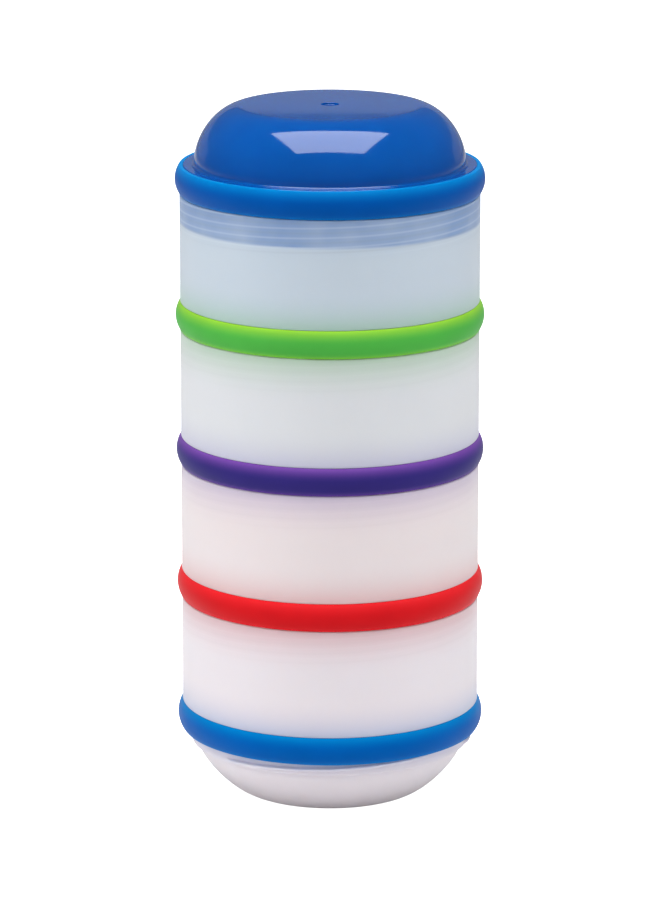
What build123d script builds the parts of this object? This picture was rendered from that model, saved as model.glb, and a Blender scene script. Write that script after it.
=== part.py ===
from build123d import *
import math
import os

# Formula dispenser: four identical cups that screw onto each other, a domed lid,
# and a soft coloured ring on the lid and on each cup.  Millimetres, +Z up, origin
# at the middle of the flat foot that the stack stands on.
#
# Each piece is drawn with z = 0 on the underside of its own ring, which is the
# plane where it seals on the rim of the piece below, and then goes to its level.

# --- overall sizes ---
wall_radius = 38.8          # outside of a cup's straight wall
cup_pitch = 35.65           # from the underside of one ring to the next
bowl_depth = 16.6           # the rounded foot, below the ring's underside

# --- walls ---
wall = 1.15                 # a cup's straight wall, and so its rim
neck_wall = 1.3
shoulder_wall = 1.3         # behind the ring's seat
bowl_wall = 1.3
floor_wall = 1.5
dome_wall = 1.6

# --- clearances ---
ring_clearance = 0.05       # between a ring and the shell that it grips
seal_gap = 0.1              # between a ring's underside and the rim below
thread_clearance = 0.35     # from a thread's crest to the wall that it faces

# --- rings ---
ring_height = 7.3
ring_foot = 1.5             # the part that seals on the rim below
ring_proud = 1.2            # how far the middle of a ring bulges out from the wall
ring_seat_depth = 1.0       # how far its seat is let into the wall

# --- neck and bowl of a cup ---
neck_depth = 3.5            # how far the neck reaches into the rim below
bowl_step = 1.6             # from the neck in to the top of the bowl
bowl_step_height = 0.4
foot_radius = 22.6          # the flat that the cup stands on
bowl_fullness = 0.29        # handle of the bowl's curve: 0.55 is a quarter circle
rim_round = 0.3
inside_round = 1.5

# --- lid ---
skirt_depth = 6.8
dome_foot_radius = 35.1
dome_foot_round = 0.6
dome_height = 22.7          # top of the lid above the ring's underside
dome_fullness = 0.5
top_radius = 22.8           # the slightly crowned middle of the lid
top_crown = 0.2
dimple_radius = 2.3
dimple_depth = 0.5

# --- threads: right-handed, the same on every neck and in every mouth ---
thread_starts = 3
thread_pitch = 2.5          # from one ridge to the next
ridge_height = 0.8
ridge_root = 1.1            # width of a ridge at its wall
ridge_crest = 0.55
ridge_buried = 0.3          # how far a ridge runs into its wall, so that the two fuse
ridge_ramp = 3.0            # length of the ramp at each end
ridge_land = 0.2            # plain wall left above and below a neck's ridges
mouth_reach = 9.6           # from the rim down to the lowest turn in a mouth
front = -90.0               # angle of the front, where a neck's ridge is at mid height

# --- worked out from the sizes above ---
thread_lead = thread_starts * thread_pitch
mouth_radius = wall_radius - wall
neck_radius = mouth_radius - thread_clearance - ridge_height
neck_crest = neck_radius + ridge_height
mouth_crest = mouth_radius - ridge_height
seat_radius = wall_radius - ring_seat_depth
ring_radius = wall_radius + ring_proud
shoulder = ring_foot + ring_clearance
neck_inside = neck_radius - neck_wall
seat_inside = seat_radius - shoulder_wall
bowl_radius = neck_radius - bowl_step
bowl_top = -neck_depth - bowl_step_height
rim = cup_pitch - seal_gap
crown_start = dome_height - top_crown
ridge_top = -ridge_land - ridge_root / 2
neck_ridge_low = ridge_land - neck_depth + ridge_root / 2
skirt_ridge_low = ridge_land - skirt_depth + ridge_root / 2
ridge_middle = (ridge_top + neck_ridge_low) / 2


def quarter(upright, level, fullness):
    """Points of a curve that leaves one end upright and comes to the other level."""
    across = level[0] - upright[0]
    along = level[1] - upright[1]
    return (
        upright,
        (upright[0], upright[1] + fullness * along),
        (level[0] - fullness * across, level[1]),
        level,
    )


def ridge_angle(height):
    """Angle at which the neck's first ridge is at this height."""
    return front + 360 * (height - ridge_middle) / thread_lead


def thread_ridge(root, crest, low, high):
    """One ridge on a wall of radius root, from the height low, at angle 0, to high."""
    outward = 1 if crest > root else -1
    buried = root - outward * ridge_buried
    slope = (ridge_root - ridge_crest) / (2 * ridge_height)
    half_buried = ridge_root / 2 + slope * ridge_buried
    half_crest = ridge_crest / 2
    turn = 360 * (high - low) / thread_lead
    ramp_angle = math.degrees(math.atan(ridge_height / ridge_ramp))
    with BuildPart() as ridge:
        with BuildLine():
            path = Helix(thread_lead, high - low, root, center=(0, 0, low))
        with BuildSketch(Plane.XZ):
            with BuildLine():
                Polyline(
                    (buried, low - half_buried),
                    (crest, low - half_crest),
                    (crest, low + half_crest),
                    (buried, low + half_buried),
                    close=True,
                )
            make_face()
        sweep(path=path, is_frenet=True)
        # a ramp at each end, so that the ridge rises gently from its wall
        for angle, height, side in ((0, low, 1), (turn, high, -1)):
            end = Location((0, 0, height), (0, 0, angle))
            tilt = Location((root, 0, 0), (0, 0, -side * outward * ramp_angle))
            with Locations(end * tilt * Location((outward * ridge_ramp, 0, 0))):
                Box(2 * ridge_ramp, 6 * ridge_ramp, 2 * ridge_root, mode=Mode.SUBTRACT)
    return ridge.part


def round_corners(section, corners, radius):
    """Rounds the corners of the sketch that stand at these points."""
    for corner in corners:
        fillet(section.vertices().sort_by_distance(corner)[0], radius)


# --- the ring: one section, turned about the axis, for the lid and every cup ---
with BuildPart() as ring:
    with BuildSketch(Plane.XZ):
        with BuildLine():
            ring_top = ring_height - ring_clearance
            seat_bore = seat_radius + ring_clearance
            neck_bore = neck_radius + ring_clearance
            Polyline(
                (wall_radius, ring_top),
                (seat_bore, ring_top),
                (seat_bore, ring_foot),
                (neck_bore, ring_foot),
                (neck_bore, 0),
                (wall_radius, 0),
            )
            ThreePointArc((wall_radius, 0), (ring_radius, ring_top / 2), (wall_radius, ring_top))
        make_face()
    revolve(axis=Axis.Z)

# --- the cup: one shell, threaded outside on its neck and inside its mouth ---
neck_ridge = thread_ridge(neck_radius, neck_crest, neck_ridge_low, ridge_top)
mouth_ridge = thread_ridge(
    mouth_radius, mouth_crest, cup_pitch - mouth_reach, cup_pitch + ridge_top - seal_gap
)
with BuildPart() as cup:
    with BuildSketch(Plane.XZ) as cup_section:
        with BuildLine():
            floor = floor_wall - bowl_depth
            bowl_outside = (bowl_radius, bowl_top)
            bowl_inside = (bowl_radius - bowl_wall, bowl_top)
            foot_edge = (foot_radius, -bowl_depth)
            floor_edge = (foot_radius - bowl_wall, floor)
            wall_foot = (wall_radius, ring_height)
            wall_inside = (mouth_radius, ring_height + ring_seat_depth)
            seat_inside_top = (seat_inside, ring_height - ring_seat_depth)
            seat_inside_foot = (seat_inside, shoulder + shoulder_wall)
            neck_inside_top = (neck_inside, shoulder - shoulder_wall)
            neck_inside_foot = (neck_inside, neck_wall - neck_depth)
            Line((0, -bowl_depth), foot_edge)
            Bezier(*quarter(bowl_outside, foot_edge, bowl_fullness))
            Polyline(
                bowl_outside,
                (neck_radius, -neck_depth),
                (neck_radius, shoulder),
                (seat_radius, shoulder),
                (seat_radius, ring_height),
                wall_foot,
                (wall_radius, rim),
                (mouth_radius, rim),
                wall_inside,
                seat_inside_top,
                seat_inside_foot,
                neck_inside_top,
                neck_inside_foot,
                bowl_inside,
            )
            Bezier(*quarter(bowl_inside, floor_edge, bowl_fullness))
            Polyline(floor_edge, (0, floor), (0, -bowl_depth))
        make_face()
        inside_corners = [wall_inside, seat_inside_top, seat_inside_foot, neck_inside_top]
        round_corners(cup_section, inside_corners, inside_round)
        round_corners(cup_section, [(wall_radius, rim), (mouth_radius, rim)], rim_round)
    revolve(axis=Axis.Z)
    with PolarLocations(0, thread_starts, start_angle=ridge_angle(neck_ridge_low)):
        add(neck_ridge)
    # the mouth's ridges run midway between those of the neck that screws into it
    with PolarLocations(0, thread_starts, start_angle=ridge_angle(-mouth_reach - thread_pitch / 2)):
        add(mouth_ridge)

# --- the lid: flange, hollow dome and threaded skirt in one shell ---
skirt_ridge = thread_ridge(neck_radius, neck_crest, skirt_ridge_low, ridge_top)
with BuildPart() as lid:
    with BuildSketch(Plane.XZ) as lid_section:
        with BuildLine():
            dome_foot = (dome_foot_radius, ring_height)
            dome_foot_inside = (dome_foot_radius - dome_wall, ring_height - dome_wall)
            top_edge = (top_radius, crown_start)
            top_edge_inside = (top_radius, crown_start - dome_wall)
            Polyline(
                (neck_inside, -skirt_depth),
                (neck_radius, -skirt_depth),
                (neck_radius, shoulder),
                (seat_radius, shoulder),
                (seat_radius, ring_height),
                dome_foot,
            )
            Bezier(*quarter(dome_foot, top_edge, dome_fullness))
            crown = math.hypot(top_radius, top_crown) / (2 * math.sin(math.atan(top_crown / top_radius)))
            RadiusArc(top_edge, (0, dome_height), -crown)
            Line((0, dome_height), (0, dome_height - dome_wall))
            RadiusArc((0, dome_height - dome_wall), top_edge_inside, crown)
            Bezier(*quarter(dome_foot_inside, top_edge_inside, dome_fullness))
            Polyline(
                dome_foot_inside,
                (neck_inside, shoulder + shoulder_wall),
                (neck_inside, -skirt_depth),
            )
        make_face()
        round_corners(lid_section, [dome_foot], dome_foot_round)
    revolve(axis=Axis.Z)
    with Locations((0, 0, dome_height)):
        Cylinder(dimple_radius, 2 * dimple_depth, mode=Mode.SUBTRACT)
    with PolarLocations(0, thread_starts, start_angle=ridge_angle(skirt_ridge_low)):
        add(skirt_ridge)

# --- the stack, from the bottom up: each cup with its ring, and the lid with its own ---
os.makedirs("parts", exist_ok=True)
stack = (
    ("bottom_cup", cup),
    ("third_cup", cup),
    ("second_cup", cup),
    ("top_cup", cup),
    ("lid", lid),
)
for place, (name, shell) in enumerate(stack):
    level = Location((0, 0, bowl_depth + place * cup_pitch))
    for label, piece in ((name, shell), (name + "_ring", ring)):
        placed = piece.part.moved(level)
        placed.label = label
        export_step(placed, f"parts/{label}.step")
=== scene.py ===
import math

import bmesh
import bpy
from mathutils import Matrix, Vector


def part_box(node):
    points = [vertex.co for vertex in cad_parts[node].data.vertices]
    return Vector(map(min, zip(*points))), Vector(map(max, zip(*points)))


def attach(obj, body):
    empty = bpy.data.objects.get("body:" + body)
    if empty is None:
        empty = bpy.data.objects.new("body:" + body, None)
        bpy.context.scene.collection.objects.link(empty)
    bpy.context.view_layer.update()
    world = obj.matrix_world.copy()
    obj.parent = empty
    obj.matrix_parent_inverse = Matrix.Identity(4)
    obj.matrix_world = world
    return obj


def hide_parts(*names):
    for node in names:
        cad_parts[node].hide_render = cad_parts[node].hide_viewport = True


bl_info = {
    "name": "Formula dispenser",
    "version": (1, 0, 0),
    "blender": (4, 5, 0),
    "location": "3D View > Sidebar > Dispenser",
    "description": "Builds the cups, soft rings, domed lid and studio of a stacking formula dispenser",
    "category": "Add Mesh",
}

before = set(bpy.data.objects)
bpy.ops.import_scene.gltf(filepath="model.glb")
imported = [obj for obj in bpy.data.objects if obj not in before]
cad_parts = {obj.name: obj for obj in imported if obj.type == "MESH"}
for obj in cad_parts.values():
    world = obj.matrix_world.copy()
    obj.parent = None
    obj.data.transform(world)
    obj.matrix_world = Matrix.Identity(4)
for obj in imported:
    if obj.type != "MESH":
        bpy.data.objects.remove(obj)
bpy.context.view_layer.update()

CUPS = ("bottom_cup", "third_cup", "second_cup", "top_cup")
STACK = CUPS + ("lid",)
MM = 0.001
FRONT = math.radians(-90)   # where a neck's ridge is at mid height
TOUCH = 1e-6                # two points or radii closer than this are the same


def level(name):
    """Height of the underside of a piece's ring, where it seals on the rim below."""
    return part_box(name + "_ring")[0].z


CUP_LOW, CUP_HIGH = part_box("bottom_cup")
RING_LOW, RING_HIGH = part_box("bottom_cup_ring")
RING_HEIGHT = RING_HIGH.z - RING_LOW.z
RING_CLEARANCE = 0.05 * MM  # between a ring and the shell that it grips

# rounding of the edges, and how finely a rounding and an upright threaded wall are drawn
CRISP = 0.12 * MM
BLUNT = 0.18 * MM
SOFT = 0.35 * MM
ARC_STEPS = 5
THREAD_STEP = 0.14 * MM


# ------------------------------------------------------------------ settings

def length(name, about, default):
    """A size, in metres."""
    return bpy.props.FloatProperty(
        name=name, description=about, default=default, min=0, unit="LENGTH", precision=5
    )


def share(name, about, default):
    """A number from 0 to 1."""
    return bpy.props.FloatProperty(
        name=name, description=about, default=default, min=0, max=1, subtype="FACTOR"
    )


def tint(name, about, default):
    """A colour."""
    return bpy.props.FloatVectorProperty(
        name=name, description=about, default=default, size=3, subtype="COLOR", min=0, max=1
    )


class DISPENSER_PG_shell(bpy.types.PropertyGroup):
    """Sizes of the cups, and of the necks and ring seats that the lid shares."""

    around: bpy.props.IntProperty(
        name="Around", description="Faces round the axis of a turned piece", default=240, min=24
    )
    wall_radius: length("Wall radius", "Outside of a cup's straight wall", CUP_HIGH.x)
    wall: length("Wall", "Thickness of a cup's straight wall", 1.15 * MM)
    pitch: length(
        "Pitch", "From the underside of one ring to the next", level("lid") - level("top_cup")
    )
    bowl_depth: length("Bowl depth", "Rounded foot below a ring's underside", RING_LOW.z - CUP_LOW.z)
    rim: length("Rim", "Top of a cup's wall over its ring's underside", CUP_HIGH.z - RING_LOW.z)
    rim_round: length("Rim rounding", "Radius on the edges of a cup's rim", 0.3 * MM)
    seat_depth: length("Seat depth", "How far a ring's seat is let into the wall", 1.0 * MM)
    seat_top: length("Seat top", "Top of a ring's seat over its underside", RING_HEIGHT + RING_CLEARANCE)
    shoulder: length("Shoulder", "Height of the shoulder that a ring's foot grips", 1.55 * MM)
    shoulder_wall: length("Shoulder wall", "Thickness behind a ring's seat", 1.3 * MM)
    neck_radius: length("Neck radius", "Radius of the threaded necks", 36.5 * MM)
    neck_wall: length("Neck wall", "Thickness of the threaded necks", 1.3 * MM)
    neck_depth: length("Neck depth", "How far a cup's neck reaches below its ring", 3.5 * MM)
    bowl_step: length("Bowl step", "From the neck in to the top of the bowl", 1.6 * MM)
    bowl_drop: length("Bowl drop", "From the neck down to the top of the bowl", 0.4 * MM)
    bowl_wall: length("Bowl wall", "Thickness of the rounded foot", 1.3 * MM)
    foot_radius: length("Foot radius", "Radius of the flat that the stack stands on", 22.6 * MM)
    floor_wall: length("Floor", "Thickness of a cup's floor", 1.5 * MM)
    bowl_fullness: share("Bowl fullness", "Handle of the bowl's curve", 0.29)
    inside_round: length("Inside rounding", "Radius of the corners inside a cup", 1.5 * MM)


class DISPENSER_PG_ring(bpy.types.PropertyGroup):
    """Sizes of the soft rings."""

    radius: length("Radius", "Outside of a ring at its middle", RING_HIGH.x)
    height: length("Height", "Height of a ring", RING_HEIGHT)
    foot: length("Foot", "Height of the part that seals on the rim below", 1.5 * MM)
    clearance: length("Clearance", "Between a ring and the shell that it grips", RING_CLEARANCE)
    edge_round: length("Edge rounding", "Radius on a ring's edges", 0.22 * MM)


class DISPENSER_PG_lid(bpy.types.PropertyGroup):
    """Sizes of the lid."""

    height: length("Height", "Top of the lid over its ring's underside", 22.7 * MM)
    skirt_depth: length("Skirt depth", "Depth of the threaded skirt", 6.8 * MM)
    flange: length("Flange", "Height of the flange over the ring's underside", 7.3 * MM)
    dome_foot: length("Dome foot", "Radius of the dome at the flange", 35.1 * MM)
    dome_wall: length("Dome wall", "Thickness of the dome", 1.6 * MM)
    dome_fullness: share("Dome fullness", "Handle of the dome's curve", 0.5)
    top_radius: length("Top radius", "Radius of the crowned top", 22.8 * MM)
    top_crown: length("Top crown", "Rise of the crowned top", 0.2 * MM)
    foot_round: length("Foot rounding", "Radius of the hollow where dome and flange meet", 0.6 * MM)
    dimple_radius: length("Dimple radius", "Radius of the moulding mark on top", 2.3 * MM)
    dimple_depth: length("Dimple depth", "Depth of the moulding mark on top", 0.5 * MM)
    dimple_round: length("Dimple rounding", "Radius at the foot of the moulding mark", 0.15 * MM)


class DISPENSER_PG_thread(bpy.types.PropertyGroup):
    """The thread, the same on every neck and in every mouth."""

    starts: bpy.props.IntProperty(name="Starts", description="Ridges side by side", default=3, min=1)
    pitch: length("Pitch", "From one ridge to the next", 2.5 * MM)
    height: length("Height", "How far a ridge stands out", 0.8 * MM)
    root: length("Root", "Width of a ridge at its wall", 1.1 * MM)
    crest: length("Crest", "Width of a ridge's crest", 0.55 * MM)
    ramp: length("Ramp", "Length of the ramp at a ridge's end", 3.0 * MM)
    land: length("Land", "Plain wall above and below a neck's ridges", 0.2 * MM)
    reach: length("Reach", "Depth of the lowest turn in a mouth", 9.6 * MM)
    seal_gap: length("Seal gap", "Between a ring and the rim below", 0.1 * MM)


class DISPENSER_PG_colours(bpy.types.PropertyGroup):
    """Colours of the pieces."""

    # Partly painted light: besides the plastic's own milky tone, each cup colour holds painted glow from
    # the rings and lid beside it, the lid's blue in the top cup and the red ring's in the third and
    # bottom cups.
    top_cup: tint("Top cup", "Milky plastic, with the lid's blue in it", (0.59, 0.665, 0.735))
    second_cup: tint("Second cup", "Milky plastic, almost neutral", (0.745, 0.755, 0.775))
    third_cup: tint("Third cup", "Milky plastic, with a little red in it", (0.86, 0.765, 0.765))
    bottom_cup: tint("Bottom cup", "Milky plastic, with a little pink in it", (0.86, 0.79, 0.82))
    lid: tint("Lid", "Polished plastic of the lid", (0.0, 0.068, 0.31))
    lid_ring: tint("Lid ring", "Soft ring of the lid", (0.0006, 0.076, 0.342))
    top_cup_ring: tint("Top ring", "Soft ring of the top cup", (0.075, 0.41, 0.06))
    second_cup_ring: tint("Second ring", "Soft ring of the second cup", (0.033, 0.023, 0.17))
    third_cup_ring: tint("Third ring", "Soft ring of the third cup", (0.61, 0.010, 0.014))
    bottom_cup_ring: tint("Bottom ring", "Soft ring of the bottom cup", (0.0, 0.10, 0.40))


class DISPENSER_PG_studio(bpy.types.PropertyGroup):
    """Camera and backdrop."""

    lens: bpy.props.FloatProperty(
        name="Lens", description="Focal length", default=201.6, min=10, unit="CAMERA"
    )
    distance: length("Distance", "From the axis to the camera, along the floor", 1.276)
    height: length("Height", "Of the camera over the floor", 0.4055)
    tilt: bpy.props.FloatProperty(
        name="Tilt", description="How far the camera looks down", default=0.2420, subtype="ANGLE"
    )
    backdrop: tint("Backdrop", "Floor and backdrop", (0.76, 0.76, 0.76))


# ------------------------------------------------------------------ sections

def bezier(p0, p1, p2, p3, steps):
    """Points of the curve with these ends and handles."""
    points = []
    for i in range(steps + 1):
        t = i / steps
        a, b, c, d = (1 - t) ** 3, 3 * (1 - t) ** 2 * t, 3 * (1 - t) * t * t, t ** 3
        points.append(tuple(a * p0[k] + b * p1[k] + c * p2[k] + d * p3[k] for k in (0, 1)))
    return points


def quarter(upright, level_end, fullness, steps=22):
    """Points of a curve that leaves one end upright and comes to the other level."""
    across = level_end[0] - upright[0]
    along = level_end[1] - upright[1]
    return bezier(
        upright,
        (upright[0], upright[1] + fullness * along),
        (level_end[0] - fullness * across, level_end[1]),
        level_end,
        steps,
    )


def fillet(before, corner, after, radius):
    """Points of an arc of this radius that rounds a corner, with one more point on each side."""
    lead = 0.4 * radius
    b, c, a = Vector(before), Vector(corner), Vector(after)
    u, v = (b - c).normalized(), (a - c).normalized()
    angle = u.angle(v)
    back = radius / math.tan(angle / 2)
    centre = c + (u + v).normalized() * radius / math.sin(angle / 2)
    start, end = c + u * back - centre, c + v * back - centre
    sweep = math.atan2(start.x * end.y - start.y * end.x, start.dot(end))
    arc = []
    for i in range(ARC_STEPS + 1):
        t = sweep * i / ARC_STEPS
        arc.append(
            (
                centre.x + start.x * math.cos(t) - start.y * math.sin(t),
                centre.y + start.x * math.sin(t) + start.y * math.cos(t),
            )
        )
    return [tuple(c + u * (back + lead))] + arc + [tuple(c + v * (back + lead))]


def run(start, end, step):
    """Points at even steps between two ends, both left out."""
    count = max(1, round(math.dist(start, end) / step))
    return [
        (start[0] + (end[0] - start[0]) * i / count, start[1] + (end[1] - start[1]) * i / count)
        for i in range(1, count)
    ]


def rounded(points, radii):
    """A line through these points with each inner corner rounded by its radius."""
    line = [points[0]]
    for before, corner, after, radius in zip(points, points[1:], points[2:], radii):
        line += fillet(before, corner, after, radius) if radius else [corner]
    return line + [points[-1]]


def refined(line, low, high, radius):
    """Adds points to the parts of a line that stand upright at this radius, between two heights."""
    out = [line[0]]
    for a, b in zip(line, line[1:]):
        upright = abs(a[0] - radius) < TOUCH and abs(b[0] - radius) < TOUCH
        if upright and max(a[1], b[1]) > low and min(a[1], b[1]) < high:
            out += run(a, b, THREAD_STEP)
        out.append(b)
    return out


def cup_section(shell, thread):
    """Half section of a cup, from the middle of its foot, up its outside and down its inside."""
    mouth = shell.wall_radius - shell.wall
    seat = shell.wall_radius - shell.seat_depth
    bowl = shell.neck_radius - shell.bowl_step
    bowl_top = -shell.neck_depth - shell.bowl_drop
    floor = shell.floor_wall - shell.bowl_depth
    neck_inside = shell.neck_radius - shell.neck_wall
    seat_inside = seat - shell.shoulder_wall
    thread_foot = shell.pitch - thread.reach - thread.root
    inside = shell.inside_round
    foot = quarter((bowl, bowl_top), (shell.foot_radius, -shell.bowl_depth), shell.bowl_fullness)
    hollow = quarter(
        (bowl - shell.bowl_wall, bowl_top),
        (shell.foot_radius - shell.bowl_wall, floor),
        shell.bowl_fullness,
    )
    outside = rounded(
        [
            foot[1],
            foot[0],
            (shell.neck_radius, -shell.neck_depth),
            (shell.neck_radius, shell.shoulder),
            (seat, shell.shoulder),
            (seat, shell.seat_top),
            (shell.wall_radius, shell.seat_top),
            (shell.wall_radius, shell.rim),
            (mouth, shell.rim),
            (mouth, thread_foot),
        ],
        [SOFT, SOFT, CRISP, CRISP, CRISP, BLUNT, shell.rim_round, shell.rim_round],
    )
    inner = rounded(
        [
            (mouth, thread_foot),
            (mouth, shell.seat_top + shell.seat_depth),
            (seat_inside, shell.seat_top - shell.seat_depth),
            (seat_inside, shell.shoulder + shell.shoulder_wall),
            (neck_inside, shell.shoulder - shell.shoulder_wall),
            (neck_inside, shell.neck_wall - shell.neck_depth),
            hollow[0],
            hollow[1],
        ],
        [inside, inside, inside, inside, SOFT, SOFT],
    )
    line = [(0, -shell.bowl_depth)] + foot[:1:-1] + outside + inner[1:-1] + hollow[1:]
    line.append((0, floor))
    line = refined(line, -shell.neck_depth, 0, shell.neck_radius)
    return refined(line, thread_foot, shell.rim, mouth)


def ring_section(shell, ring):
    """Whole section of a ring, from its bore round its outside and back."""
    seat_bore = shell.wall_radius - shell.seat_depth + ring.clearance
    neck_bore = shell.neck_radius + ring.clearance
    bulge = ring.radius - shell.wall_radius
    half = ring.height / 2
    round_radius = (half * half + bulge * bulge) / (2 * bulge)
    reach = math.asin(half / round_radius)
    steps = 20
    side = []
    for i in range(steps + 1):
        angle = reach * (2 * i / steps - 1)
        across = ring.radius - round_radius + round_radius * math.cos(angle)
        side.append((across, half + round_radius * math.sin(angle)))
    start = (neck_bore, ring.foot / 2)
    under = rounded([start, (neck_bore, 0), side[0], side[2]], [CRISP, ring.edge_round])
    over = rounded(
        [
            side[-3],
            side[-1],
            (seat_bore, ring.height),
            (seat_bore, ring.foot),
            (neck_bore, ring.foot),
            start,
        ],
        [ring.edge_round, CRISP, CRISP, CRISP],
    )
    return under[:-1] + side[2:-2] + over[1:]


def lid_section(shell, lid):
    """Half section of the lid, from the middle of its top, down its outside and up its inside."""
    seat = shell.wall_radius - shell.seat_depth
    neck_inside = shell.neck_radius - shell.neck_wall
    crown_start = lid.height - lid.top_crown
    crown_radius = (lid.top_radius ** 2 + lid.top_crown ** 2) / (2 * lid.top_crown)
    reach = math.asin(lid.top_radius / crown_radius)
    crown_steps, dome_steps, hollow_steps = 16, 34, 26

    def crown(radius, drop):
        """Point of the crowned top, or of the surface this far below it."""
        centre = lid.height - drop - crown_radius
        return (radius, centre + math.sqrt(crown_radius ** 2 - radius ** 2))

    radii = [crown_radius * math.sin(reach * i / crown_steps) for i in range(1, crown_steps)]
    pit, dimple = lid.height - lid.dimple_depth, lid.dimple_radius
    beside_dimple = 1.6 * dimple
    line = rounded(
        [(0, pit), (dimple, pit), crown(dimple, 0), crown(beside_dimple, 0)],
        [lid.dimple_round, CRISP],
    )
    line += [crown(radius, 0) for radius in radii if radius > beside_dimple]
    dome = quarter(
        (lid.dome_foot, lid.flange), (lid.top_radius, crown_start), lid.dome_fullness, dome_steps
    )
    line += dome[:1:-1]
    line += rounded(
        [
            dome[2],
            dome[0],
            (seat, lid.flange),
            (seat, shell.shoulder),
            (shell.neck_radius, shell.shoulder),
            (shell.neck_radius, -lid.skirt_depth),
            (neck_inside, -lid.skirt_depth),
            (neck_inside, shell.shoulder + shell.shoulder_wall),
        ],
        [lid.foot_round, BLUNT, CRISP, CRISP, SOFT, SOFT],
    )[1:]
    hollow = quarter(
        (lid.dome_foot - lid.dome_wall, lid.flange - lid.dome_wall),
        (lid.top_radius, crown_start - lid.dome_wall),
        lid.dome_fullness,
        hollow_steps,
    )
    line += hollow
    line += [crown(radius, lid.dome_wall) for radius in reversed(radii)]
    line.append((0, lid.height - lid.dome_wall))
    return refined(line, -lid.skirt_depth, 0, shell.neck_radius)


# ------------------------------------------------------------------ node helpers

def feed(tree, node, feeds):
    """Gives a node its inputs, each a socket to link or a plain value."""
    for key, value in feeds.items():
        if isinstance(value, bpy.types.NodeSocket):
            tree.links.new(value, node.inputs[key])
        else:
            node.inputs[key].default_value = value


def put(tree, kind, feeds=None, **settings):
    """Adds a node with these inputs and settings."""
    node = tree.nodes.new(kind)
    for key, value in settings.items():
        setattr(node, key, value)
    feed(tree, node, feeds or {})
    return node


def sums(tree, operation, *values, clamp=False):
    """Adds a Math node and returns its output."""
    feeds = dict(enumerate(values))
    return put(tree, "ShaderNodeMath", feeds, operation=operation, use_clamp=clamp).outputs[0]


def socket(tree, name, kind, direction="INPUT", default=None, about=""):
    """Adds an input or output to a group."""
    made = tree.interface.new_socket(name, in_out=direction, socket_type=kind, description=about)
    if default is not None:
        made.default_value = default


# ------------------------------------------------------------------ turned pieces

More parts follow.
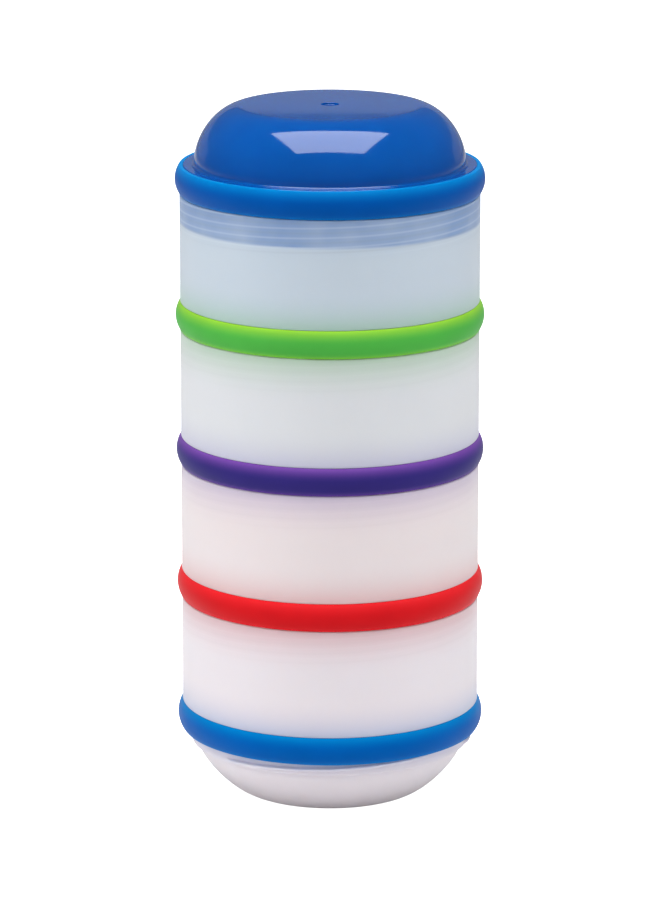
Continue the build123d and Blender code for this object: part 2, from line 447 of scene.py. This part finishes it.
def turned_tree():
    """Geometry Nodes tree that turns a section about the axis and raises the thread on it."""
    tree = bpy.data.node_groups.get("Turned shell")
    if tree:
        return tree
    tree = bpy.data.node_groups.new("Turned shell", "GeometryNodeTree")
    socket(tree, "Section", "NodeSocketGeometry")
    socket(tree, "Around", "NodeSocketInt", default=240)
    for name in ("Level", "Pitch", "Root", "Crest", "Ramp", "Front"):
        socket(tree, name, "NodeSocketFloat")
    socket(tree, "Starts", "NodeSocketInt", default=3)
    socket(tree, "Material", "NodeSocketMaterial")
    socket(tree, "Geometry", "NodeSocketGeometry", "OUTPUT")
    given = put(tree, "NodeGroupInput").outputs

    rows = put(
        tree, "GeometryNodeAttributeDomainSize", {"Geometry": given["Section"]}
    ).outputs["Point Count"]
    columns = sums(tree, "ADD", given["Around"], 1)
    grid = put(
        tree, "GeometryNodeMeshGrid",
        {"Size X": 1.0, "Size Y": 1.0, "Vertices X": rows, "Vertices Y": columns},
    )
    index = put(tree, "GeometryNodeInputIndex").outputs[0]
    half_step = 0.5     # keeps the quotient clear of whole numbers before it is cut down
    row = sums(tree, "FLOOR", sums(tree, "DIVIDE", sums(tree, "ADD", index, half_step), columns))
    column = sums(tree, "SUBTRACT", index, sums(tree, "MULTIPLY", row, columns))
    angle = sums(tree, "DIVIDE", sums(tree, "MULTIPLY", column, math.tau), given["Around"])

    def sampled(kind, value):
        return put(
            tree, "GeometryNodeSampleIndex",
            {"Geometry": given["Section"], "Value": value, "Index": row},
            data_type=kind, domain="POINT",
        ).outputs["Value"]

    def of_section(name):
        mark = put(tree, "GeometryNodeInputNamedAttribute", {"Name": name}, data_type="FLOAT")
        return sampled("FLOAT", mark.outputs["Attribute"])

    place = put(
        tree, "ShaderNodeSeparateXYZ",
        {"Vector": sampled("FLOAT_VECTOR", put(tree, "GeometryNodeInputPosition").outputs[0])},
    )
    radius, height = place.outputs["X"], place.outputs["Z"]
    ridge, low = of_section("ridge"), of_section("ridge_low")
    high, datum = of_section("ridge_high"), of_section("ridge_datum")

    turns = sums(tree, "DIVIDE", sums(tree, "SUBTRACT", angle, given["Front"]), math.tau)
    climbed = sums(tree, "DIVIDE", sums(tree, "SUBTRACT", height, datum), given["Pitch"])
    phase = sums(tree, "SUBTRACT", climbed, sums(tree, "MULTIPLY", turns, given["Starts"]))
    off = sums(tree, "SUBTRACT", phase, sums(tree, "ROUND", phase))
    off = sums(tree, "MULTIPLY", off, given["Pitch"])
    flank = sums(tree, "SUBTRACT", given["Root"], given["Crest"])
    width = sums(tree, "MULTIPLY", sums(tree, "ABSOLUTE", off), 2.0)
    inside = sums(tree, "SUBTRACT", given["Root"], width)
    shape = sums(tree, "DIVIDE", inside, flank, clamp=True)
    middle = sums(tree, "SUBTRACT", height, off)
    lead = sums(tree, "MULTIPLY", given["Pitch"], given["Starts"])
    around = sums(tree, "MULTIPLY", radius, math.tau)
    along = sums(tree, "DIVIDE", around, sums(tree, "MULTIPLY", lead, given["Ramp"]))
    rise = sums(tree, "MULTIPLY", sums(tree, "SUBTRACT", middle, low), along, clamp=True)
    fall = sums(tree, "MULTIPLY", sums(tree, "SUBTRACT", high, middle), along, clamp=True)
    shape = sums(tree, "MULTIPLY", shape, sums(tree, "MULTIPLY", rise, fall))
    radius = sums(tree, "ADD", radius, sums(tree, "MULTIPLY", ridge, shape))

    point = put(
        tree, "ShaderNodeCombineXYZ",
        {
            "X": sums(tree, "MULTIPLY", radius, sums(tree, "COSINE", angle)),
            "Y": sums(tree, "MULTIPLY", radius, sums(tree, "SINE", angle)),
            "Z": sums(tree, "ADD", height, given["Level"]),
        },
    )
    shell = grid.outputs["Mesh"]
    for kind, entry, more in (
        ("GeometryNodeSetPosition", "Geometry", {"Position": point.outputs[0]}),
        ("GeometryNodeMergeByDistance", "Geometry", {"Distance": TOUCH}),
        ("GeometryNodeFlipFaces", "Mesh", {}),
        ("GeometryNodeSetShadeSmooth", "Geometry", {"Shade Smooth": True}),
        ("GeometryNodeRealizeInstances", "Geometry", {}),
        ("GeometryNodeSetMaterial", "Geometry", {"Material": given["Material"]}),
    ):
        shell = put(tree, kind, {entry: shell, **more}).outputs[0]
    put(tree, "NodeGroupOutput", {"Geometry": shell})
    return tree


MARKS = ("ridge", "ridge_low", "ridge_high", "ridge_datum")


def marked_line(name, section, threads):
    """The section as a line of edges whose points say which ridges their wall carries."""
    line = bpy.data.meshes.new(name)
    edges = [(i, i + 1) for i in range(len(section) - 1)]
    line.from_pydata([(r, 0, z) for r, z in section], edges, [])
    for key in MARKS:
        values = [0.0] * len(section)
        for wall in threads:
            for i, (r, z) in enumerate(section):
                if abs(r - wall["radius"]) < TOUCH and wall["from"] <= z <= wall["to"]:
                    values[i] = wall[key]
        line.attributes.new(key, "FLOAT", "POINT").data.foreach_set("value", values)
    return line


def check_closed(name, mesh):
    """Stops the script when a piece is open or inside out."""
    shape = bmesh.new()
    shape.from_mesh(mesh)
    loose = sum(1 for edge in shape.edges if not edge.is_manifold)
    volume = shape.calc_volume(signed=True)
    shape.free()
    if loose or volume <= 0:
        raise RuntimeError(f"{name}: {loose} open edges, volume {volume}")


def turned(name, section, threads, height, material, scene):
    """Turns a section about the axis at this height. threads lists the walls that carry ridges."""
    shell, thread = scene.dispenser_shell, scene.dispenser_thread
    line = marked_line(name + "_section", section, threads)
    draft = bpy.data.objects.new(name + "_section", line)
    bpy.context.collection.objects.link(draft)
    tree = turned_tree()
    modifier = draft.modifiers.new("Turned shell", "NODES")
    modifier.node_group = tree
    sizes = {
        "Around": shell.around, "Level": height, "Pitch": thread.pitch, "Root": thread.root,
        "Crest": thread.crest, "Ramp": thread.ramp, "Front": FRONT, "Starts": thread.starts,
        "Material": material,
    }
    for item in tree.interface.items_tree:
        if item.in_out == "INPUT" and item.name in sizes:
            modifier[item.identifier] = sizes[item.name]
    bpy.context.view_layer.update()
    seen = draft.evaluated_get(bpy.context.evaluated_depsgraph_get())
    mesh = bpy.data.meshes.new_from_object(seen)
    mesh.name = name
    bpy.data.objects.remove(draft)
    bpy.data.meshes.remove(line)
    for key in MARKS:
        if key in mesh.attributes:
            mesh.attributes.remove(mesh.attributes[key])
    check_closed(name, mesh)
    piece = bpy.data.objects.new(name, mesh)
    bpy.context.collection.objects.link(piece)
    return piece


def outer_thread(shell, thread, depth):
    """The ridges on a neck or skirt of this depth."""
    middle = thread.land + thread.root / 2
    cup_low, top = middle - shell.neck_depth, -middle
    return {
        "radius": shell.neck_radius, "from": -depth, "to": 0.0, "ridge": thread.height,
        "ridge_low": middle - depth, "ridge_high": top, "ridge_datum": (top + cup_low) / 2,
    }


def inner_thread(shell, thread):
    """The ridges in a cup's mouth, midway between those of the neck that screws into it."""
    neck = outer_thread(shell, thread, shell.neck_depth)
    return {
        "radius": shell.wall_radius - shell.wall, "from": shell.pitch - thread.reach - thread.root,
        "to": shell.rim, "ridge": -thread.height, "ridge_low": shell.pitch - thread.reach,
        "ridge_high": shell.pitch + neck["ridge_high"] - thread.seal_gap,
        "ridge_datum": shell.pitch + neck["ridge_datum"] + thread.pitch / 2,
    }


# ------------------------------------------------------------------ shared effects

def grain_group():
    """Fine moulded grain, a slow unevenness and a few rubbed places, all on given coordinates."""
    group = bpy.data.node_groups.get("Moulded surface")
    if group:
        return group
    group = bpy.data.node_groups.new("Moulded surface", "ShaderNodeTree")
    socket(group, "Vector", "NodeSocketVector")
    socket(group, "Grain size", "NodeSocketFloat", default=0.4 * MM, about="Size of the fine grain")
    socket(group, "Grain", "NodeSocketFloat", default=0.3, about="Share of the grain in the height")
    socket(group, "Roughness", "NodeSocketFloat", default=0.4)
    socket(group, "Unevenness", "NodeSocketFloat", default=0.1, about="How far the roughness wanders")
    socket(group, "Height", "NodeSocketFloat", "OUTPUT")
    socket(group, "Roughness", "NodeSocketFloat", "OUTPUT")
    socket(group, "Cloud", "NodeSocketFloat", "OUTPUT")
    given = put(group, "NodeGroupInput").outputs
    grains = sums(group, "DIVIDE", 1.0, given["Grain size"])
    fine = put(
        group, "ShaderNodeTexNoise", {"Vector": given["Vector"], "Scale": grains, "Detail": 2.0}
    ).outputs["Fac"]
    broad = put(
        group, "ShaderNodeTexNoise", {"Vector": given["Vector"], "Scale": 55.0, "Detail": 3.0}
    ).outputs["Fac"]
    rubbed = put(
        group, "ShaderNodeTexNoise",
        {"Vector": given["Vector"], "Scale": 190.0, "Detail": 5.0, "Roughness": 0.7, "Distortion": 0.6},
    ).outputs["Fac"]
    scuff = put(
        group, "ShaderNodeMapRange",
        {"Value": rubbed, "From Min": 0.58, "From Max": 0.72, "To Min": 0.0, "To Max": 1.0},
    ).outputs[0]
    height = sums(group, "ADD", sums(group, "MULTIPLY", fine, given["Grain"]), broad)
    middle, scuff_share = 0.5, 0.35
    worn = sums(group, "MULTIPLY", scuff, scuff_share)
    wander = sums(group, "ADD", sums(group, "SUBTRACT", broad, middle), worn)
    wander = sums(group, "MULTIPLY", wander, given["Unevenness"])
    rough = sums(group, "ADD", given["Roughness"], wander, clamp=True)
    put(group, "NodeGroupOutput", {"Height": height, "Roughness": rough, "Cloud": broad})
    return group


def band_group():
    """How near a point is to a level edge: strongest at it, and fading over a height on both sides."""
    group = bpy.data.node_groups.get("Fading band")
    if group:
        return group
    group = bpy.data.node_groups.new("Fading band", "ShaderNodeTree")
    socket(group, "Height", "NodeSocketFloat")
    socket(group, "Edge", "NodeSocketFloat", about="Height where the mask is strongest")
    socket(group, "Fade", "NodeSocketFloat", about="Height over which it fades, up and down")
    socket(group, "Strength", "NodeSocketFloat")
    socket(group, "Mask", "NodeSocketFloat", "OUTPUT")
    given = put(group, "NodeGroupInput").outputs
    away = sums(group, "DIVIDE", sums(group, "SUBTRACT", given["Height"], given["Edge"]), given["Fade"])
    left = sums(group, "SUBTRACT", 1.0, sums(group, "ABSOLUTE", away), clamp=True)
    eased = sums(group, "MULTIPLY", left, left)
    put(group, "NodeGroupOutput", {"Mask": sums(group, "MULTIPLY", eased, given["Strength"])})
    return group


def use(tree, group, feeds):
    """Places a shared group in a tree with its own values, and returns its outputs."""
    return put(tree, "ShaderNodeGroup", feeds, node_tree=group).outputs


def blended(tree, factor, first, second):
    """Mixes two colours by a factor. The node's colour sockets are told apart by number."""
    feeds = {0: factor, 6: first, 7: second}
    return put(tree, "ShaderNodeMix", feeds, data_type="RGBA").outputs[2]


def opaque(colour, factor=1.0, lift=0.0):
    """The colour with its alpha, made lighter or darker by a factor and then lifted."""
    return (*(min(1.0, lift + factor * c) for c in colour), 1.0)


def clouded(tree, cloud, colour, darkest, lightest):
    """The colour, wandering between two shades of itself."""
    return blended(tree, cloud, opaque(colour, darkest), opaque(colour, lightest))


def banded(tree, base, colour, height, edge, fade, strength):
    """Blends a colour in near a level edge, fading over a height above and below it."""
    feeds = {"Height": height, "Edge": edge, "Fade": fade, "Strength": strength}
    return blended(tree, use(tree, band_group(), feeds)["Mask"], base, colour)


def height_over(tree, place, foot):
    """Height of the shaded point over this level."""
    up = put(tree, "ShaderNodeSeparateXYZ", {"Vector": place}).outputs["Z"]
    return sums(tree, "SUBTRACT", up, foot)


def surface(name, grain_size, grain, roughness, unevenness, bump):
    """Starts a material with the moulded surface: also gives its tree, shader, cloud and coordinates."""
    material = bpy.data.materials.new(name)
    material.use_nodes = True
    tree = material.node_tree
    tree.nodes.clear()
    place = put(tree, "ShaderNodeTexCoord").outputs["Object"]
    look = use(
        tree, grain_group(),
        {
            "Vector": place, "Grain size": grain_size, "Grain": grain,
            "Roughness": roughness, "Unevenness": unevenness,
        },
    )
    raised = put(
        tree, "ShaderNodeBump", {"Height": look["Height"], "Strength": 1.0, "Distance": bump}
    ).outputs[0]
    shader = put(tree, "ShaderNodeBsdfPrincipled", {"Roughness": look["Roughness"], "Normal": raised})
    put(tree, "ShaderNodeOutputMaterial", {"Surface": shader.outputs[0]})
    return material, tree, shader, look["Cloud"], place


def ridges_group():
    """Soft lines that follow the thread's ridges and fade out at a given depth under the rim: masks for
    painted light on the crests and painted shade in the grooves.
    """
    group = bpy.data.node_groups.get("Thread through the wall")
    if group:
        return group
    group = bpy.data.node_groups.new("Thread through the wall", "ShaderNodeTree")
    socket(group, "Vector", "NodeSocketVector")
    socket(group, "Height", "NodeSocketFloat", about="Height over the rim, negative below it")
    socket(group, "Pitch", "NodeSocketFloat")
    socket(group, "Starts", "NodeSocketFloat")
    socket(group, "Depth", "NodeSocketFloat", about="Depth under the rim that the lines reach")
    socket(group, "Crest", "NodeSocketFloat", "OUTPUT")
    socket(group, "Groove", "NodeSocketFloat", "OUTPUT")
    given = put(group, "NodeGroupInput").outputs
    place = put(group, "ShaderNodeSeparateXYZ", {"Vector": given["Vector"]}).outputs
    turn = sums(group, "DIVIDE", sums(group, "ARCTAN2", place["Y"], place["X"]), math.tau)
    rise = sums(group, "DIVIDE", given["Height"], given["Pitch"])
    phase = sums(group, "SUBTRACT", rise, sums(group, "MULTIPLY", turn, given["Starts"]))
    wave = sums(group, "COSINE", sums(group, "MULTIPLY", phase, math.tau))
    trough = sums(group, "MULTIPLY", wave, -1.0)
    depth = sums(group, "DIVIDE", given["Height"], given["Depth"])
    fade, crest_narrowness, groove_narrowness = 6.0, 5.0, 3.0
    inside = sums(group, "MULTIPLY", sums(group, "ADD", depth, 1.0), fade, clamp=True)
    crest = sums(group, "POWER", sums(group, "MAXIMUM", wave, 0.0), crest_narrowness)
    groove = sums(group, "POWER", sums(group, "MAXIMUM", trough, 0.0), groove_narrowness)
    crest = sums(group, "MULTIPLY", crest, inside)
    groove = sums(group, "MULTIPLY", groove, inside)
    put(group, "NodeGroupOutput", {"Crest": crest, "Groove": groove})
    return group


# painted glow and shade: how strongly each cup's own ring's colour, darkened, is painted on its wall as
# light shining through it, and the ring above's on the rim
SHINE_UP = {"bottom_cup": 0.55, "third_cup": 0.50, "second_cup": 0.42, "top_cup": 0.55}
SHINE_DOWN = {"bottom_cup": 0.52, "third_cup": 0.46, "second_cup": 0.58, "top_cup": 0.45}
SHINE_NECK = 0.40

# how far these painted glows reach from a ring's top, from its underside and from the rim
REACH_UP, REACH_NECK, REACH_DOWN = 10 * MM, 7 * MM, 12 * MM

# painted shade of the lid's blue skirt behind the top cup's wall, with its soft lower edge
SKIRT_SHADE = 0.80
SKIRT_EDGE = 0.7 * MM

# how strongly the painted light and shade of the thread's lines show, where the lid's blue is behind
# them and elsewhere
LINES = {"top_cup": 0.30}
FAINT_LINES = 0.07


def pale(colour, milk):
    """A ring's colour, darker, as painted glow and shade through the milky plastic."""
    darkest, span, softening = 0.29, 0.47, 0.7
    shares = [(c / max(colour)) ** softening for c in colour]
    return opaque([m * (darkest + span * part) for m, part in zip(milk, shares)])


def skirt_shade_mask(tree, place, under_rim, depth):
    """Where the painted shade of a skirt of this depth behind the wall falls, a little uneven."""
    skirt = put(
        tree, "ShaderNodeMapRange",
        {
            "Value": under_rim, "From Min": -depth - SKIRT_EDGE, "From Max": -depth,
            "To Min": 0.0, "To Max": SKIRT_SHADE,
        },
    ).outputs[0]
    patchy = put(
        tree, "ShaderNodeTexNoise", {"Vector": place, "Scale": 38.0, "Detail": 3.0, "Roughness": 0.6}
    ).outputs["Fac"]
    uneven = put(
        tree, "ShaderNodeMapRange",
        {"Value": patchy, "From Min": 0.35, "From Max": 0.62, "To Min": 0.45, "To Max": 1.0},
    ).outputs[0]
    return sums(tree, "MULTIPLY", skirt, uneven)


def painted_thread_lines(tree, base, milk, place, under_rim, thread, strength):
    """Paints the lines of the thread that show through the wall: painted light on the crests and painted
    shade in the grooves.
    """
    ridges = use(
        tree, ridges_group(),
        {
            "Vector": place, "Height": under_rim, "Pitch": thread.pitch,
            "Starts": float(thread.starts), "Depth": thread.reach,
        },
    )
    crest_lift, groove_shade, groove_share = 0.1, 0.45, 0.5
    light = sums(tree, "MULTIPLY", ridges["Crest"], strength)
    dark = sums(tree, "MULTIPLY", ridges["Groove"], groove_share * strength)
    base = blended(tree, light, base, opaque(milk, lift=crest_lift))
    return blended(tree, dark, base, opaque(milk, groove_shade))


def cup_material(name, colours, shell, thread, lid):
    """Milky plastic, tinted close to the rings with painted glow and shade of the rings that shine
    through it, and with painted light and shade on the thread's lines.
    """
    milk = getattr(colours, name)
    below = getattr(colours, name + "_ring")
    above = getattr(colours, STACK[STACK.index(name) + 1] + "_ring")
    material, tree, shader, cloud, place = surface(
        name + "_milk", grain_size=0.5 * MM, grain=0.25, roughness=0.36, unevenness=0.16, bump=0.012 * MM
    )
    height = height_over(tree, place, level(name))
    under_rim = sums(tree, "SUBTRACT", height, shell.rim)
    own, upper = pale(below, milk), pale(above, milk)
    base = clouded(tree, cloud, milk, 0.98, 1.02)
    # painted glow and shade of the rings near the ring's top, its underside and the rim
    base = banded(tree, base, own, height, RING_HEIGHT, REACH_UP, SHINE_UP[name])
    base = banded(tree, base, own, height, 0.0, REACH_NECK, SHINE_NECK)
    base = banded(tree, base, upper, under_rim, 0.0, REACH_DOWN, SHINE_DOWN[name])
    if name == "top_cup":
        # painted shade: the lid's blue skirt seen through the top cup's wall
        base = blended(tree, skirt_shade_mask(tree, place, under_rim, lid.skirt_depth), base, upper)
    base = painted_thread_lines(tree, base, milk, place, under_rim, thread, LINES.get(name, FAINT_LINES))
    feed(
        tree, shader,
        {
            "Base Color": base, "IOR": 1.49, "Transmission Weight": 0.12, "Subsurface Weight": 1.0,
            "Subsurface Radius": (1.0, 0.95, 0.9), "Subsurface Scale": 1.5 * MM,
        },
    )
    return material


# painted light: the lighter colour that a ring turns to at its edges
RING_EDGE_LIGHT = {
    "lid_ring": (0.0, 0.19, 0.50),
    "top_cup_ring": (0.30, 0.60, 0.04),
    "second_cup_ring": (0.20, 0.075, 0.38),
    "third_cup_ring": (0.80, 0.022, 0.028),
    "bottom_cup_ring": (0.0, 0.21, 0.53),
}


# painted light along the upper and the lower edge: height, how far its lighter band reaches, and how
# strong it is
PAINTED_EDGE_LIGHT = ((RING_HEIGHT, 3.4 * MM, 0.95), (0.0, 1.6 * MM, 0.55))


def ring_material(name, colour):
    """Soft satin elastomer, with painted light along its edges."""
    material, tree, shader, cloud, place = surface(
        name + "_soft", grain_size=0.22 * MM, grain=0.6, roughness=0.46, unevenness=0.14, bump=0.010 * MM
    )
    height = height_over(tree, place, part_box(name)[0].z)
    base = clouded(tree, cloud, colour, 0.86, 1.08)
    # painted light along the ring's top and bottom edges
    for band in PAINTED_EDGE_LIGHT:
        base = banded(tree, base, opaque(RING_EDGE_LIGHT[name]), height, *band)
    feed(
        tree, shader,
        {
            "Base Color": base, "IOR": 1.45, "Subsurface Weight": 0.25,
            "Subsurface Radius": (1.0, 1.0, 1.0), "Subsurface Scale": 0.8 * MM,
            "Specular IOR Level": 0.14, "Specular Tint": opaque(colour, 1.5, lift=0.1),
        },
    )
    return material


def lid_material(colour):
    """Polished deep blue plastic with the faint unevenness of a moulded dome."""
    material, tree, shader, cloud, _ = surface(
        "lid_polish", grain_size=1.4 * MM, grain=0.15, roughness=0.07, unevenness=0.10, bump=0.004 * MM
    )
    feed(
        tree, shader,
        {
            "Base Color": clouded(tree, cloud, colour, 0.85, 1.15), "IOR": 1.5,
            "Subsurface Weight": 0.3, "Subsurface Radius": (0.3, 0.6, 1.0),
            "Subsurface Scale": 2.0 * MM, "Coat Weight": 0.15, "Coat Roughness": 0.03,
        },
    )
    return material


# ------------------------------------------------------------------ operators

class DISPENSER_OT_cups(bpy.types.Operator):
    """Makes the four cups that screw onto each other"""

    bl_idname = "dispenser.cups"
    bl_label = "Cups"

    def execute(self, context):
        scene = context.scene
        shell, thread, colours = scene.dispenser_shell, scene.dispenser_thread, scene.dispenser_colours
        section = cup_section(shell, thread)
        threads = [outer_thread(shell, thread, shell.neck_depth), inner_thread(shell, thread)]
        for name in CUPS:
            material = cup_material(name, colours, shell, thread, scene.dispenser_lid)
            piece = turned(name + "_shell", section, threads, level(name), material, scene)
            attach(piece, name)
            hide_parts(name)
        return {"FINISHED"}


class DISPENSER_OT_rings(bpy.types.Operator):
    """Makes the soft coloured ring of each cup and of the lid"""

    bl_idname = "dispenser.rings"
    bl_label = "Rings"

    def execute(self, context):
        scene = context.scene
        section = ring_section(scene.dispenser_shell, scene.dispenser_ring)
        for name in STACK:
            node = name + "_ring"
            material = ring_material(node, getattr(scene.dispenser_colours, node))
            piece = turned(node + "_band", section, [], level(name), material, scene)
            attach(piece, "bottom_cup" if name == "bottom_cup" else node)
            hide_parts(node)
        return {"FINISHED"}


class DISPENSER_OT_lid(bpy.types.Operator):
    """Makes the domed lid with its threaded skirt"""

    bl_idname = "dispenser.lid"
    bl_label = "Lid"

    def execute(self, context):
        scene = context.scene
        shell, thread, lid = scene.dispenser_shell, scene.dispenser_thread, scene.dispenser_lid
        section = lid_section(shell, lid)
        threads = [outer_thread(shell, thread, lid.skirt_depth)]
        material = lid_material(scene.dispenser_colours.lid)
        piece = turned("lid_shell", section[::-1], threads, level("lid"), material, scene)
        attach(piece, "lid")
        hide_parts("lid")
        return {"FINISHED"}


# panels of light: name, place, target, width, height, watts, and whether polished parts mirror them
MIDDLE = (0.0, 0.0, 0.10)
LAMPS = (
    ("key", (0.0, -0.25, 1.05), (0.0, -0.25, 0.0), 1.00, 0.82, 14.0, True),
    ("front", (0.0, -1.5, 0.75), MIDDLE, 1.4, 0.8, 3.9, False),
    ("left", (-1.15, -0.25, 0.45), MIDDLE, 0.8, 0.9, 6.2, False),
    ("right", (1.15, -0.20, 0.45), MIDDLE, 0.8, 0.9, 4.2, False),
    ("back", (0.0, 1.3, 0.9), MIDDLE, 1.6, 0.8, 6.5, False),
    ("backdrop", (0.0, 2.2, 0.33), (0.0, 0.0, 0.33), 5.0, 0.58, 1.5, True),
)


class DISPENSER_OT_studio(bpy.types.Operator):
    """Makes the floor, the soft lights and the camera"""

    bl_idname = "dispenser.studio"
    bl_label = "Studio"

    def execute(self, context):
        scene = context.scene
        studio = scene.dispenser_studio
        self.floor(scene, studio)
        self.room(scene)
        for lamp in LAMPS:
            self.lamp(scene, *lamp)
        self.camera(scene, studio)
        scene.view_settings.view_transform = "Standard"
        scene.view_settings.look = "None"
        return {"FINISHED"}

    def floor(self, scene, studio):
        """A matt floor that the camera sees as plain white."""
        half, least_glow = 6.0, 0.06
        mesh = bpy.data.meshes.new("floor")
        mesh.from_pydata(
            [(-half, -half, 0), (half, -half, 0), (half, half, 0), (-half, half, 0)], [], [(0, 1, 2, 3)]
        )
        floor = bpy.data.objects.new("floor", mesh)
        scene.collection.objects.link(floor)
        material = bpy.data.materials.new("floor")
        material.use_nodes = True
        tree = material.node_tree
        seen = put(tree, "ShaderNodeLightPath").outputs["Is Camera Ray"]
        feed(
            tree, tree.nodes["Principled BSDF"],
            {
                "Base Color": opaque(studio.backdrop), "Roughness": 0.9, "Specular IOR Level": 0.0,
                "Emission Color": (1, 1, 1, 1), "Emission Strength": sums(tree, "ADD", seen, least_glow),
            },
        )
        mesh.materials.append(material)

    def room(self, scene):
        """A dim bluish room around the studio."""
        world = bpy.data.worlds.new("studio")
        world.use_nodes = True
        background = world.node_tree.nodes["Background"]
        feed(world.node_tree, background, {"Color": (0.10, 0.11, 0.13, 1), "Strength": 1.0})
        scene.world = world

    def lamp(self, scene, name, place, target, width, height, power, mirrored):
        """A soft panel of light that the camera itself does not see."""
        light = bpy.data.lights.new(name, "AREA")
        light.shape = "RECTANGLE"
        light.size, light.size_y = width, height
        light.energy = power
        lamp = bpy.data.objects.new(name, light)
        lamp.location = place
        lamp.rotation_euler = (Vector(target) - Vector(place)).to_track_quat("-Z", "Y").to_euler()
        lamp.visible_camera = False
        lamp.visible_glossy = mirrored
        scene.collection.objects.link(lamp)

    def camera(self, scene, studio):
        """The camera in front, looking a little down at the stack."""
        data = bpy.data.cameras.new("camera")
        data.lens = studio.lens
        data.sensor_width = 36
        data.clip_end = 50
        camera = bpy.data.objects.new("camera", data)
        camera.location = (0, -studio.distance, studio.height)
        camera.rotation_euler = (math.radians(90) - studio.tilt, 0, 0)
        scene.collection.objects.link(camera)
        scene.camera = camera


class DISPENSER_PT_panel(bpy.types.Panel):
    """Lists the steps of the dispenser and its sizes"""

    bl_label = "Formula dispenser"
    bl_space_type = "VIEW_3D"
    bl_region_type = "UI"
    bl_category = "Dispenser"

    def draw(self, context):
        for operator in OPERATORS:
            self.layout.operator(operator.bl_idname)
        for name in SETTINGS:
            box = self.layout.box()
            group = getattr(context.scene, name)
            box.label(text=name.split("_")[-1].capitalize())
            for key in group.__annotations__:
                box.prop(group, key)


SETTINGS = {
    "dispenser_shell": DISPENSER_PG_shell,
    "dispenser_ring": DISPENSER_PG_ring,
    "dispenser_lid": DISPENSER_PG_lid,
    "dispenser_thread": DISPENSER_PG_thread,
    "dispenser_colours": DISPENSER_PG_colours,
    "dispenser_studio": DISPENSER_PG_studio,
}
OPERATORS = (DISPENSER_OT_cups, DISPENSER_OT_rings, DISPENSER_OT_lid, DISPENSER_OT_studio)
CLASSES = (*SETTINGS.values(), *OPERATORS, DISPENSER_PT_panel)


def register():
    """Adds the classes and the scene's settings."""
    for made in CLASSES:
        bpy.utils.register_class(made)
    for name, group in SETTINGS.items():
        setattr(bpy.types.Scene, name, bpy.props.PointerProperty(type=group))


def unregister():
    """Takes them away again."""
    for name in SETTINGS:
        delattr(bpy.types.Scene, name)
    for made in reversed(CLASSES):
        bpy.utils.unregister_class(made)


def main():
    """Builds the dispenser."""
    register()
    bpy.ops.dispenser.cups()
    bpy.ops.dispenser.rings()
    bpy.ops.dispenser.lid()
    bpy.ops.dispenser.studio()


if __name__ == "__main__":
    main()
